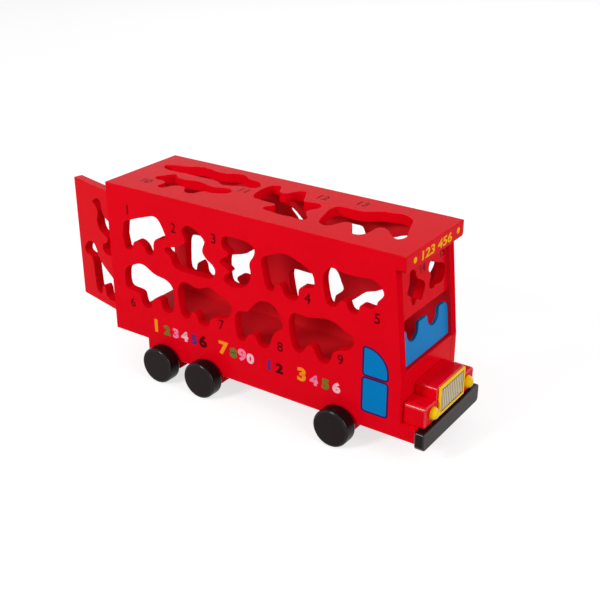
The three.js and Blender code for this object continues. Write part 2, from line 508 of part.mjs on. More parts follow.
// Bonnet between two lower fenders, with grille, headlights and bumper
function buildNose() {
  const bonnetHalf = BONNET_WIDTH / 2;
  const bonnet = roundedBar(bonnetHalf, 0, BONNET_HEIGHT, 0, BONNET_EDGE);
  addPiece('bonnet_block', prism(bonnet, BONNET_LENGTH, FRONT_PLANE), RED, [noseBack, 0, bodyBottom]);

  const fenderOuter = halfWidth - FENDER_INSET;
  const fenderInner = bonnetHalf + GLUE;
  const pegHole = PEG_DIAMETER + FIT * 2;
  const lampProfile = [
    new THREE.Vector2(0, -PEG_LENGTH),
    new THREE.Vector2(PEG_DIAMETER / 2, -PEG_LENGTH),
    new THREE.Vector2(PEG_DIAMETER / 2, 0),
  ];
  for (let step = 0; step <= DOME_STEPS; step += 1) {
    const angle = (step * Math.PI) / (2 * DOME_STEPS);
    const across = step === DOME_STEPS ? 0 : HEADLIGHT_RADIUS * Math.cos(angle);
    lampProfile.push(new THREE.Vector2(across, HEADLIGHT_RADIUS * Math.sin(angle)));
  }
  for (const [hand, sign] of [['right', -1], ['left', 1]]) {
    const fender = new THREE.Shape();
    fender.moveTo(sign * fenderInner, 0);
    fender.lineTo(sign * fenderOuter, 0);
    fender.lineTo(sign * fenderOuter, FENDER_HEIGHT - FENDER_EDGE);
    const edgeStart = sign > 0 ? 0 : Math.PI;
    fender.absarc(
      sign * (fenderOuter - FENDER_EDGE),
      FENDER_HEIGHT - FENDER_EDGE,
      FENDER_EDGE,
      edgeStart,
      Math.PI / 2,
      sign < 0,
    );
    fender.lineTo(sign * fenderInner, FENDER_HEIGHT);
    fender.closePath();
    const lampY = (sign * HEADLIGHT_SPACING) / 2;
    const hole = new THREE.CylinderGeometry(pegHole / 2, pegHole / 2, PEG_LENGTH + FIT * 2, DOWEL_SIDES);
    hole.rotateZ(-Math.PI / 2).translate(BONNET_LENGTH - PEG_LENGTH / 2, lampY, HEADLIGHT_HEIGHT);
    const block = solidOf(prism(fender, BONNET_LENGTH, FRONT_PLANE)).subtract(solidOf(hole));
    addPiece(`${hand}_fender`, geometryOf(block), RED, [noseBack, 0, bodyBottom]);
    const lamp = new THREE.LatheGeometry(lampProfile, DOWEL_SIDES).rotateZ(-Math.PI / 2);
    addPiece(`${hand}_headlight`, lamp, YELLOW, [lampBack, lampY, bodyBottom + HEADLIGHT_HEIGHT]);
  }

  const grilleHalf = GRILLE_WIDTH / 2;
  const grilleBottom = BONNET_HEIGHT - GRILLE_HEIGHT;
  const windowHalf = grilleHalf - GRILLE_BORDER;
  const frame = rectangle(-grilleHalf, grilleBottom, grilleHalf, BONNET_HEIGHT);
  const frameBottom = grilleBottom + GRILLE_BORDER;
  const frameTop = BONNET_HEIGHT - GRILLE_BORDER;
  frame.holes = [rectangle(-windowHalf, frameBottom, windowHalf, frameTop)];
  const grilleX = noseFront + GLUE;
  addPiece('grille_frame', prism(frame, GRILLE_DEPTH, FRONT_PLANE), YELLOW, [grilleX, 0, bodyBottom]);

  const plateHalf = windowHalf - FIT;
  const ribPitch = (plateHalf * 2 + GRILLE_GROOVE) / GRILLE_RIBS;
  const ribWidth = ribPitch - GRILLE_GROOVE;
  const comb = new THREE.Shape();
  comb.moveTo(0, plateHalf);
  comb.lineTo(0, -plateHalf);
  for (let rib = 0; rib < GRILLE_RIBS; rib += 1) {
    const ribStart = -plateHalf + rib * ribPitch;
    if (rib > 0) {
      comb.lineTo(GRILLE_BACKING, ribStart);
    }
    comb.lineTo(GRILLE_BACKING + GRILLE_RIB, ribStart);
    comb.lineTo(GRILLE_BACKING + GRILLE_RIB, ribStart + ribWidth);
    if (rib < GRILLE_RIBS - 1) {
      comb.lineTo(GRILLE_BACKING, ribStart + ribWidth);
    }
  }
  comb.closePath();
  const plateHeight = frameTop - frameBottom - FIT * 2;
  addPiece('grille_plate', prism(comb, plateHeight, FLAT_PLANE), BEIGE, [grilleX, 0, bodyBottom + frameBottom + FIT]);

  const bumper = roundedBar(halfWidth + BUMPER_OVERHANG, 0, BUMPER_HEIGHT, BUMPER_CORNER, 0);
  const bumperBottom = chassisTop - BUMPER_DROP - BUMPER_HEIGHT;
  addPiece('bumper', prism(bumper, BUMPER_DEPTH, FRONT_PLANE), BLACK, [chassisFront + GLUE, 0, bumperBottom]);
}

// Rear door, standing open on its two pins
function buildDoor() {
  const hinge = new THREE.Group();
  hinge.position.set(pivotX, pivotY, doorBottom);
  hinge.rotation.z = doorAngle;
  bus.add(hinge);
  const height = doorTop - doorBottom;
  const panel = rectangle(0, 0, doorReach, height);
  panel.holes = cutOuts(DOOR_CUTS, DOOR_RIMS, 0, 0, doorReach, height);
  const board = prism(panel, BOARD, SIDE_PLANE).translate(0, BOARD / 2, 0);
  const pinHole = PIN_DIAMETER + FIT * 2;
  const door = solidOf(board)
    .add(solidOf(uprightPin(BOARD, 0, height, 0, 0)))
    .subtract(solidOf(uprightPin(pinHole, -FIT, PIN_SEAT + FIT, 0, 0)))
    .subtract(solidOf(uprightPin(pinHole, height - PIN_SEAT - FIT, height + FIT, 0, 0)));
  addPiece('rear_door', geometryOf(door), RED, [0, 0, 0], hinge);
  const lowerPin = uprightPin(PIN_DIAMETER, -DOOR_END_GAP - PIN_SEAT, PIN_SEAT, 0, 0);
  addPiece('lower_door_pin', lowerPin, BARE_WOOD, [0, 0, 0], hinge);
  const pinTop = height + DOOR_END_GAP + RAIL_HEIGHT - FIT;
  const upperPin = uprightPin(PIN_DIAMETER, height - PIN_SEAT, pinTop, 0, 0);
  addPiece('upper_door_pin', upperPin, BARE_WOOD, [0, 0, 0], hinge);
}

const axlePlaces = [
  ['rear', REAR_AXLE],
  ['middle', REAR_AXLE + AXLE_PITCH],
  ['front', FRONT_AXLE],
];

buildChassis();
buildWheels();
buildBody();
buildFront();
buildNose();
buildDoor();

// The origin is on the ground, midway between the foremost point and the open door's far edge
bus.position.x = -(busFront + doorRear) / 2;

export default bus;
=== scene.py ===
"""Looks of a painted wooden sorter bus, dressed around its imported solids."""

import json
import logging
import math
from dataclasses import dataclass
from enum import Enum

import bmesh
import bpy
from mathutils import Matrix, Vector

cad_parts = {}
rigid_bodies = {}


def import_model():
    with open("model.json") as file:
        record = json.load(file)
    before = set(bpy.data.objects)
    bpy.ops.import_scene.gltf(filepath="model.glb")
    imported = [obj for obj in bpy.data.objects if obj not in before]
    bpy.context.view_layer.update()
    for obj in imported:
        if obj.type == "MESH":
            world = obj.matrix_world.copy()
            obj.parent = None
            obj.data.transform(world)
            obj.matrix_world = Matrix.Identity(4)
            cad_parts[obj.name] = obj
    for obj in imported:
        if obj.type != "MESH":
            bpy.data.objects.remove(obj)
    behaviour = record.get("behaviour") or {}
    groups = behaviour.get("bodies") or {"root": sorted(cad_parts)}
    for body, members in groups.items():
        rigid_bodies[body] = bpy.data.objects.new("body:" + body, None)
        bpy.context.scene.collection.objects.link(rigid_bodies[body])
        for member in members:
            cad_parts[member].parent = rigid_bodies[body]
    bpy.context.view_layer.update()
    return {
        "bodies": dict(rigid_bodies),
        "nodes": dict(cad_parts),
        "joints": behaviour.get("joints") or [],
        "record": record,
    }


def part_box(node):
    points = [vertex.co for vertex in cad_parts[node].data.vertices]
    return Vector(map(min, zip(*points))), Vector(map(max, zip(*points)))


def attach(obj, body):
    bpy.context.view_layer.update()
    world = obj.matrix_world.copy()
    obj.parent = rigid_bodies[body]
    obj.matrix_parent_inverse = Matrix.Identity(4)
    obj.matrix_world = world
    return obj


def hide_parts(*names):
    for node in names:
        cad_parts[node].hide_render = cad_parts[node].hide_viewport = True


LOG = logging.getLogger("sorter_bus")
MM = 0.001
REAR_EDGE = -139.566
RIGHT_FACE = -50.0
LEFT_FACE = 50.0
IMAGE_PIXELS = 600.0
SENSOR_MM = 36.0
JOINT_SLACK = 0.3 * MM
BORE_STEP = 3.0 * MM
WELD = 0.005 * MM
SPIN_WELD = 0.002 * MM
FONT_WELD = 0.0001
FLAT_FACE = 0.9965
SQUARE_FACE = 0.1
ALONG_BOARD = 0.5
OUTLINE_REACH = 2.0 * MM
LEVEL_ANGLE = math.radians(0.5)
SHARP_ANGLE = math.radians(40.0)
CORNER_ANGLE = math.radians(50.0)
EDGE_STEPS = 3
ROUND_SIDES = 32
DOWEL_CHAMFER = 0.4 * MM
DOWEL_STEPS = 2
FORWARDS, LEFTWARDS, UPWARDS = Vector((1.0, 0.0, 0.0)), Vector((0.0, 1.0, 0.0)), Vector((0.0, 0.0, 1.0))
WHITE = (1.0, 1.0, 1.0, 1.0)
MIX_FACTOR, MIX_FIRST, MIX_SECOND, MIX_RESULT = 0, 6, 7, 2

Color = tuple[int, int, int]
Shade = tuple[float, float, float, float]
Pair = tuple[float, float]
Triple = tuple[float, float, float]
Radii = tuple[float, float, float, float]
BMesh = bmesh.types.BMesh
Node = bpy.types.Node
Piece = bpy.types.Object
Face = bpy.types.MeshPolygon


def linear(color: Color) -> Shade:
    """Turn an sRGB colour into a linear one.

    Args:
        color: Red, green and blue from 0 to 255.

    Returns:
        The linear colour with full opacity.
    """
    parts = [value / 255.0 for value in color]
    curved = [p / 12.92 if p <= 0.04045 else ((p + 0.055) / 1.055) ** 2.4 for p in parts]
    return (curved[0], curved[1], curved[2], 1.0)


class Plane(Enum):
    """The painted face that a print lies on."""

    RIGHT_SIDE = "right_side"
    LEFT_SIDE = "left_side"
    ROOF = "roof"
    HEADER = "header"
    LEANING_FRONT = "leaning_front"


class Axis(Enum):
    """A direction of the shared frame, by its place in a vector."""

    X = 0
    Y = 1
    Z = 2


def fill(node: Node, **values: object) -> None:
    """Set a node's inputs, which are named with underscores for spaces."""
    for key, value in values.items():
        node.inputs[key.replace("_", " ")].default_value = value


class NodeGraph:
    """A node tree whose nodes are added and linked in one line each."""

    def __init__(self, tree: bpy.types.NodeTree) -> None:
        """Keep the tree.

        Args:
            tree: The nodes of a material or of the world.
        """
        self.tree = tree

    def add(self, kind: str, **values: object) -> Node:
        """Add a node and set its inputs.

        Args:
            kind: The node's type name.
            values: Its inputs, as fill() takes them.

        Returns:
            The new node.
        """
        node = self.tree.nodes.new(kind)
        fill(node, **values)
        return node

    def link(self, source: Node, output: str | int, target: Node, socket: str | int) -> None:
        """Link one node's output to another node's input."""
        self.tree.links.new(source.outputs[output], target.inputs[socket])

    def ramp(self, source: Node, output: str, stops: list[tuple[float, Shade]]) -> Node:
        """Add a colour ramp fed by a node.

        Args:
            source: The node whose value is looked up.
            output: The name of its output.
            stops: Two positions from 0 to 1 with their colours.

        Returns:
            The colour ramp node.
        """
        node = self.add("ShaderNodeValToRGB")
        for element, (position, color) in zip(node.color_ramp.elements, stops):
            element.position = position
            element.color = color
        self.link(source, output, node, "Fac")
        return node

    def math(self, operation: str, source: Node, output: str, value: float = 0.0) -> Node:
        """Add a sum of one node's value and a number.

        Args:
            operation: The sum's kind.
            source: The node whose value is taken.
            output: The name of its output.
            value: The number.

        Returns:
            The Math node.
        """
        node = self.add("ShaderNodeMath")
        node.operation = operation
        node.inputs[1].default_value = value
        self.link(source, output, node, 0)
        return node

    def noise(self, place: Node, output: str, **values: float) -> Node:
        """Add noise over the places that a node gives.

        Args:
            place: The node that gives them.
            output: The name of its output.
            values: The noise's inputs, as fill() takes them.

        Returns:
            The noise node.
        """
        node = self.add("ShaderNodeTexNoise", **values)
        self.link(place, output, node, "Vector")
        return node

    def mix(self, blend: str, first: Node, output: str | int) -> Node:
        """Add a mix of two colours at full strength.

        Args:
            blend: How the second colour acts on the first.
            first: The node that gives the first colour.
            output: Its output.

        Returns:
            The Mix node.
        """
        node = self.add("ShaderNodeMix")
        node.data_type = "RGBA"
        node.blend_type = blend
        node.inputs[MIX_FACTOR].default_value = 1.0
        self.link(first, output, node, MIX_FIRST)
        return node

    def seen(self) -> Node:
        """Add the test for rays that come from the camera, a reflection or glass.

        Returns:
            A node whose value is 1 for such a ray.
        """
        path = self.add("ShaderNodeLightPath")
        node, output = path, "Is Camera Ray"
        for kind in ("Is Glossy Ray", "Is Transmission Ray"):
            both = self.math("ADD", node, output)
            both.use_clamp = True
            self.link(path, kind, both, 1)
            node, output = both, "Value"
        return node


class SurfaceGraph(NodeGraph):
    """A material's nodes round a Principled shader."""

    def __init__(self, name: str) -> None:
        """Start a material.

        Args:
            name: The material's name.
        """
        self.material = bpy.data.materials.new(name)
        self.material.use_nodes = True
        super().__init__(self.material.node_tree)
        self.tree.nodes.clear()
        self.shader = self.add("ShaderNodeBsdfPrincipled")
        output = self.add("ShaderNodeOutputMaterial")
        self.link(self.shader, "BSDF", output, "Surface")

    def relief(self, height: Node, distance: float, strength: float, below: Node | None = None) -> Node:
        """Raise the surface where a noise is high.

        Args:
            height: The noise.
            distance: The relief's height in metres.
            strength: How much of it shows.
            below: The relief that this one lies on.

        Returns:
            The Bump node, which feeds the shader.
        """
        node = self.add("ShaderNodeBump", Strength=strength, Distance=distance)
        self.link(height, "Fac", node, "Height")
        if below is not None:
            self.link(below, "Normal", node, "Normal")
        self.link(node, "Normal", self.shader, "Normal")
        return node


@dataclass(frozen=True)
class Paint:
    """Satin paint on sanded wood, with the grain faintly raised under it.

    Attributes:
        name: The material's name.
        color: The paint's colour, sRGB.
        deep: The same colour where the coat lies thicker.
        roughness: How matt the coat is.
        specular: The coat's specular level.
        coat: Weight of a clear gloss on top.
        grain: Height of the raised grain in metres.
        peel: Height of the sprayed coat's fine texture in metres.

    The other fields set how the coat's texture spreads.
    """

    name: str
    color: Color
    deep: Color
    roughness: float
    specular: float
    coat: float = 0.0
    coat_roughness: float = 0.12
    grain: float = 0.03 * MM
    peel: float = 0.012 * MM
    relief: float = 0.5
    uneven: float = 0.05
    grain_scale: Triple = (60.0, 900.0, 900.0)
    drift_scale: float = 28.0
    peel_scale: float = 1400.0

    def build(self) -> bpy.types.Material:
        """Make the material.

        Returns:
            The finished material.
        """
        graph = SurfaceGraph(self.name)
        place = graph.add("ShaderNodeTexCoord")
        along = graph.add("ShaderNodeMapping", Scale=self.grain_scale)
        graph.link(place, "Object", along, "Vector")
        fibre = graph.noise(along, "Vector", Scale=1.0, Detail=4.0, Roughness=0.6)
        drift = graph.noise(place, "Object", Scale=self.drift_scale, Detail=3.0, Roughness=0.5)
        tone = graph.ramp(drift, "Fac", [(0.3, linear(self.deep)), (0.7, linear(self.color))])
        graph.link(tone, "Color", graph.shader, "Base Color")
        smooth, matt = self.roughness - self.uneven, self.roughness + self.uneven
        gloss = graph.add("ShaderNodeMapRange", To_Min=smooth, To_Max=matt)
        graph.link(drift, "Fac", gloss, "Value")
        graph.link(gloss, "Result", graph.shader, "Roughness")
        spray = graph.noise(place, "Object", Scale=self.peel_scale, Detail=2.0)
        wood = graph.relief(fibre, self.grain, self.relief)
        graph.relief(spray, self.peel, self.relief, wood)
        fill(graph.shader, Specular_IOR_Level=self.specular)
        fill(graph.shader, Coat_Weight=self.coat, Coat_Roughness=self.coat_roughness)
        return graph.material


@dataclass(frozen=True)
class GrillePaint:
    """Beige ribs with darker grooves between them, and a painted shadow: a dark line along the plate's
    outline, where the frame's edge shades it.

    Attributes:
        name: The material's name.
        rib: Colour of the ribs, sRGB.
        groove: Colour down in the grooves, sRGB.
        line: Colour of the painted shadow line along the outline, sRGB.
        line_width: Width of that painted shadow line in metres.
        rib_depth: Height of the ribs over the grooves in metres.
        low: The plate's lowest corner.
        high: The plate's highest corner.

    The other fields set the flecks in the coat and its gloss.
    """

    name: str
    rib: Color
    groove: Color
    line: Color
    line_width: float
    rib_depth: float
    low: Vector
    high: Vector
    fleck: Shade = (0.88, 0.88, 0.88, 1.0)
    fleck_scale: float = 300.0
    fleck_height: float = 0.02 * MM
    relief: float = 0.4
    roughness: float = 0.5
    specular: float = 0.1

    def build(self) -> bpy.types.Material:
        """Make the material.

        Returns:
            The finished material.
        """
        graph = SurfaceGraph(self.name)
        place = graph.add("ShaderNodeTexCoord")
        split = graph.add("ShaderNodeSeparateXYZ")
        graph.link(place, "Object", split, "Vector")
        face = self.high.x
        depth = graph.add("ShaderNodeMapRange", From_Min=face - self.rib_depth, From_Max=face)
        graph.link(split, "X", depth, "Value")
        tone = graph.ramp(depth, "Result", [(0.55, linear(self.groove)), (0.95, linear(self.rib))])
        speck = graph.noise(place, "Object", Scale=self.fleck_scale, Detail=3.0)
        shade = graph.ramp(speck, "Fac", [(0.2, self.fleck), (0.8, WHITE)])
        mixed = graph.mix("MULTIPLY", tone, "Color")
        graph.link(shade, "Color", mixed, MIX_SECOND)
        # Painted shadow: a dark band along the plate's outline, where the frame's edge shades it.
        shadowed = graph.mix("MIX", mixed, MIX_RESULT)
        shadowed.inputs[MIX_SECOND].default_value = linear(self.line)
        graph.link(self.outline(graph, split), "Value", shadowed, MIX_FACTOR)
        graph.link(shadowed, MIX_RESULT, graph.shader, "Base Color")
        graph.relief(speck, self.fleck_height, self.relief)
        fill(graph.shader, Roughness=self.roughness, Specular_IOR_Level=self.specular)
        return graph.material

    def outline(self, graph: NodeGraph, split: Node) -> Node:
        """Find the painted shadow line along the plate's outline.

        Args:
            graph: The material's nodes.
            split: The node that gives the place along X, Y and Z.

        Returns:
            A node whose value is 1 on the painted shadow line and 0 inside it.
        """
        middle = (self.low + self.high) / 2.0
        inside = (self.high - self.low) / 2.0 - Vector((1.0, 1.0, 1.0)) * self.line_width
        either = graph.add("ShaderNodeMath")
        either.operation = "MAXIMUM"
        for socket, axis in enumerate((Axis.Y, Axis.Z)):
            away = graph.math("SUBTRACT", split, axis.name, middle[axis.value])
            far = graph.math("ABSOLUTE", away, "Value")
            past = graph.math("GREATER_THAN", far, "Value", inside[axis.value])
            graph.link(past, "Value", either, socket)
        return either


@dataclass(frozen=True)
class BareWood:
    """Unpainted beech dowel with fine streaks along its length.

    Attributes:
        name: The material's name.
        pale: Colour between the streaks, sRGB.
        streak: Colour of the streaks, sRGB.
        stretch: Noise scale along X, Y and Z, low along the dowel.

    The other fields set how the streaks stand out and how matt the wood is.
    """

    name: str
    pale: Color
    streak: Color
    stretch: Triple
    streak_height: float = 0.04 * MM
    relief: float = 0.5
    roughness: float = 0.62

    def build(self) -> bpy.types.Material:
        """Make the material.

        Returns:
            The finished material.
        """
        graph = SurfaceGraph(self.name)
        place = graph.add("ShaderNodeTexCoord")
        along = graph.add("ShaderNodeMapping", Scale=self.stretch)
        graph.link(place, "Object", along, "Vector")
        fibre = graph.noise(along, "Vector", Scale=1.0, Detail=6.0, Roughness=0.65, Distortion=0.4)
        tone = graph.ramp(fibre, "Fac", [(0.35, linear(self.streak)), (0.62, linear(self.pale))])
        graph.link(tone, "Color", graph.shader, "Base Color")
        graph.relief(fibre, self.streak_height, self.relief)
        fill(graph.shader, Roughness=self.roughness)
        return graph.material


@dataclass(frozen=True)
class Ink:
    """Screen-printed ink, a little uneven over the paint.

    Attributes:
        name: The material's name.
        color: The ink's colour, sRGB.
        worn: The colour where the ink is thin, sRGB.

    The other fields set the size of the thin places and the ink's gloss.
    """

    name: str
    color: Color
    worn: Color
    cover_scale: float = 420.0
    roughness: float = 0.4
    specular: float = 0.02

    def build(self) -> bpy.types.Material:
        """Make the material.

        Returns:
            The finished material.
        """
        graph = SurfaceGraph(self.name)
        place = graph.add("ShaderNodeTexCoord")
        cover = graph.noise(place, "Object", Scale=self.cover_scale, Detail=4.0, Roughness=0.6)
        tone = graph.ramp(cover, "Fac", [(0.28, linear(self.worn)), (0.5, linear(self.color))])
        graph.link(tone, "Color", graph.shader, "Base Color")
        fill(graph.shader, Roughness=self.roughness, Specular_IOR_Level=self.specular)
        return graph.material


Finish = Paint | GrillePaint | BareWood | Ink

RED = Paint("red_paint_coat", (232, 3, 25), (226, 2, 23), 0.24, specular=0.015, coat=0.02)
RED_EDGE = Paint("red_paint_edge", (232, 3, 25), (226, 2, 23), 0.22, specular=0.42)
RED_WALL = Paint("red_paint_wall", (232, 3, 25), (226, 2, 23), 0.6, specular=0.0)
# Painted shade: a duller, greyer copy of the red paint for the faces inside the bus, standing in for how
# dim and muted the inside looks under the lights.
RED_INSIDE_SHADE = Paint("red_paint_inside_shade", (222, 30, 42), (216, 28, 40), 0.5, specular=0.03)
BLUE = Paint("blue_paint_coat", (14, 134, 206), (11, 126, 198), 0.34, specular=0.04)
# Darker blue on the windscreen's edges: partly its dark printed outline, partly painted shade on those
# edges.
BLUE_OUTLINE_AND_SHADE = Paint("blue_outline_and_shade_edge", (16, 92, 150), (14, 86, 142), 0.4, specular=0.02)
YELLOW = Paint("yellow_paint_coat", (255, 212, 4), (252, 202, 3), 0.3, specular=0.08, coat=0.03)
BLACK = Paint("black_paint_coat", (26, 13, 15), (21, 10, 12), 0.32, specular=0.11, grain=0.05 * MM)
BLACK_EDGE = Paint("black_paint_edge", (26, 13, 15), (21, 10, 12), 0.24, specular=0.4)
BLACK_RIM = Paint("black_paint_rim", (26, 13, 15), (21, 10, 12), 0.15, specular=0.22, grain=0.01 * MM)
AXLE_WOOD = BareWood("axle_dowel_wood", (222, 190, 142), (196, 158, 108), (700.0, 40.0, 700.0))
PIN_WOOD = BareWood("pin_dowel_wood", (222, 190, 142), (196, 158, 108), (700.0, 700.0, 40.0))
DARK_INK = Ink("dark_ink", (100, 4, 12), (112, 4, 13))
OUTLINE_INK = Ink("outline_ink", (62, 26, 88), (70, 26, 82))
PANE_INK = Ink("pane_ink", (6, 126, 194), (5, 118, 186))
SIGN_INK = Ink("sign_ink", (255, 184, 8), (252, 170, 8))
ORANGE_INK = Ink("orange_ink", (250, 150, 30), (240, 138, 30))
GREEN_INK = Ink("green_ink", (104, 122, 48), (96, 108, 44))
PINK_INK = Ink("pink_ink", (255, 128, 168), (246, 112, 152))
ROSE_INK = Ink("rose_ink", (255, 186, 200), (250, 170, 186))
PURPLE_INK = Ink("purple_ink", (92, 44, 120), (84, 40, 110))
MAROON_INK = Ink("maroon_ink", (84, 4, 14), (98, 4, 16))


def soften(shape: BMesh, geometry: list, radius: float, steps: int, affect: str = "EDGES") -> None:
    """Round some edges of a shape, or some corners of a flat one.

    Args:
        shape: The shape, changed in place.
        geometry: The edges or the corner points.
        radius: Their new radius in metres.
        steps: Steps across a rounded edge.
        affect: EDGES or VERTICES.
    """
    bmesh.ops.bevel(
        shape,
        geom=geometry,
        offset=radius,
        offset_type="OFFSET",
        segments=steps,
        profile=0.5,
        affect=affect,
        clamp_overlap=affect == "EDGES",
        material=-1,
    )


class Dresser:
    """Finished materials and the ways of turning solids and meshes into dressed pieces."""

    def __init__(self, frame: dict) -> None:
        """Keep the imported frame.
        """
        self.nodes: dict[str, Piece] = frame["nodes"]
        self.materials: dict[str, bpy.types.Material] = {}

    def finish_of(self, finish: Finish) -> bpy.types.Material:
        """Find a finish's material, which is made on its first use.

        Args:
            finish: The finish.

        Returns:
            Its material.
        """
        if finish.name not in self.materials:
            self.materials[finish.name] = finish.build()
        return self.materials[finish.name]

    def add(
        self,
        name: str,
        shape: BMesh,
        finishes: Finish | list[Finish],
        body: str,
        slot: str,
        nodes: tuple[str, ...] = (),
    ) -> Piece:
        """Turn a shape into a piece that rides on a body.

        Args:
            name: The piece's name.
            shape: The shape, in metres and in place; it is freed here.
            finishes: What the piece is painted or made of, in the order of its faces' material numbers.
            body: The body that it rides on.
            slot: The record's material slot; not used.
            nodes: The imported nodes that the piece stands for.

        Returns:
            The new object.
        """
        mesh = bpy.data.meshes.new(name)
        shape.to_mesh(mesh)
        shape.free()
        mesh.shade_smooth()
        mesh.set_sharp_from_angle(angle=SHARP_ANGLE)
        for finish in finishes if isinstance(finishes, list) else [finishes]:
            mesh.materials.append(self.finish_of(finish))
        piece = bpy.data.objects.new(name, mesh)
        bpy.context.scene.collection.objects.link(piece)
        even = piece.modifiers.new("even_normals", "WEIGHTED_NORMAL")
        even.keep_sharp = True
        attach(piece, body)
        if nodes:
            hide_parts(*nodes)
        LOG.info("made %s on %s", name, body)
        return piece

    def round_over(
        self,
        node: str,
        radius: float,
        finish: Paint | GrillePaint,
        body: str,
        slot: str,
        steps: int = EDGE_STEPS,
        seams: tuple[tuple[Axis, float], ...] = (),
        edge_finish: Paint | None = None,
        shortest: float = 0.0,
        bore: tuple[Vector, float] | None = None,
    ) -> Piece:
        """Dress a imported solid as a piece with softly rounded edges.

        Args:
            node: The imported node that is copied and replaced.
            radius: The edges' radius in metres.
            finish: The paint.
            body: The body that it rides on.
            slot: The record's material slot.
            steps: Steps across a rounded edge.
            seams: Axis and place of each filled and painted-over joint, which is closed and stays sharp.
            edge_finish: Paint of the rounded edges, where the coat lies thicker and shines more.
            shortest: Edges shorter than this, such as those round a bore, stay sharp.
            bore: Centre and reach of a bore along X, whose rims stay sharp.

        Returns:
            The new object.
        """
        shape = bmesh.new()
        shape.from_mesh(self.nodes[node].data)
        bmesh.ops.remove_doubles(shape, verts=shape.verts, dist=WELD)
        bmesh.ops.dissolve_limit(shape, angle_limit=LEVEL_ANGLE, verts=shape.verts, edges=shape.edges)
        edges = [e for e in shape.edges if len(e.link_faces) == 2 and e.calc_length() >= shortest]
        edges = [e for e in edges if e.calc_face_angle() > CORNER_ANGLE]
        if bore is not None:
            centre, reach = bore
            edges = [e for e in edges if any((v.co - centre).yz.length > reach for v in e.verts)]
        for axis, place in seams:
            across = axis.value
            edges = [e for e in edges if any(abs(v.co[across] - place) > JOINT_SLACK for v in e.verts)]
            for vert in shape.verts:
                if abs(vert.co[across] - place) <= JOINT_SLACK:
                    vert.co[across] = place
        soften(shape, edges, radius, steps)
        piece_finishes = [finish]
        if edge_finish is not None:
            piece_finishes.append(edge_finish)
            for face in shape.faces:
                face.normal_update()
                if max(abs(part) for part in face.normal) < FLAT_FACE:
                    face.material_index = 1
        return self.add(f"{node}_coat", shape, piece_finishes, body, slot, (node,))

    def repaint(self, piece: Piece, finish: Paint, faces: list[Face]) -> None:
        """Give some faces of a piece another finish.

        Args:
            piece: The dressed piece.
            finish: The paint that they get.
            faces: The faces.
        """
        number = len(piece.data.materials)
        piece.data.materials.append(self.finish_of(finish))
        for face in faces:
            face.material_index = number


def broad_side(mesh: bpy.types.Mesh) -> Vector:
    """Direction that a board's largest face points in."""
    return max(mesh.polygons, key=lambda face: face.area).normal.copy()


def cut_walls(mesh: bpy.types.Mesh) -> list[Face]:
    """Find the sawn walls of a board's cut-outs.

    Args:
        mesh: The board.

    Returns:
        The faces that stand square to the board and lie away from its outline.
    """
    broad = broad_side(mesh)
    axes = [axis for axis in range(3) if abs(broad[axis]) < ALONG_BOARD]
    limits = [(axis, end(v.co[axis] for v in mesh.vertices)) for axis in axes for end in (min, max)]
    walls = [face for face in mesh.polygons if abs(face.normal.dot(broad)) < SQUARE_FACE]
    return [f for f in walls if all(abs(f.center[a] - end) > OUTLINE_REACH for a, end in limits)]


def inner_faces(mesh: bpy.types.Mesh, heart: Vector) -> list[Face]:
    """Find a board's broad faces on the inside of the bus.

    Args:
        mesh: The board.
        heart: A point in the middle of the bus.

    Returns:
        The faces along the board that look towards that point.
    """
    broad = broad_side(mesh)
    flat = [face for face in mesh.polygons if abs(face.normal.dot(broad)) > FLAT_FACE]
    return [face for face in flat if face.normal.dot(heart - face.center) > 0.0]


def rim_faces(mesh: bpy.types.Mesh) -> list[Face]:
    """Find a board's edges, with the rounded corners that lead to them."""
    broad = broad_side(mesh)
    return [face for face in mesh.polygons if abs(face.normal.dot(broad)) <= FLAT_FACE]


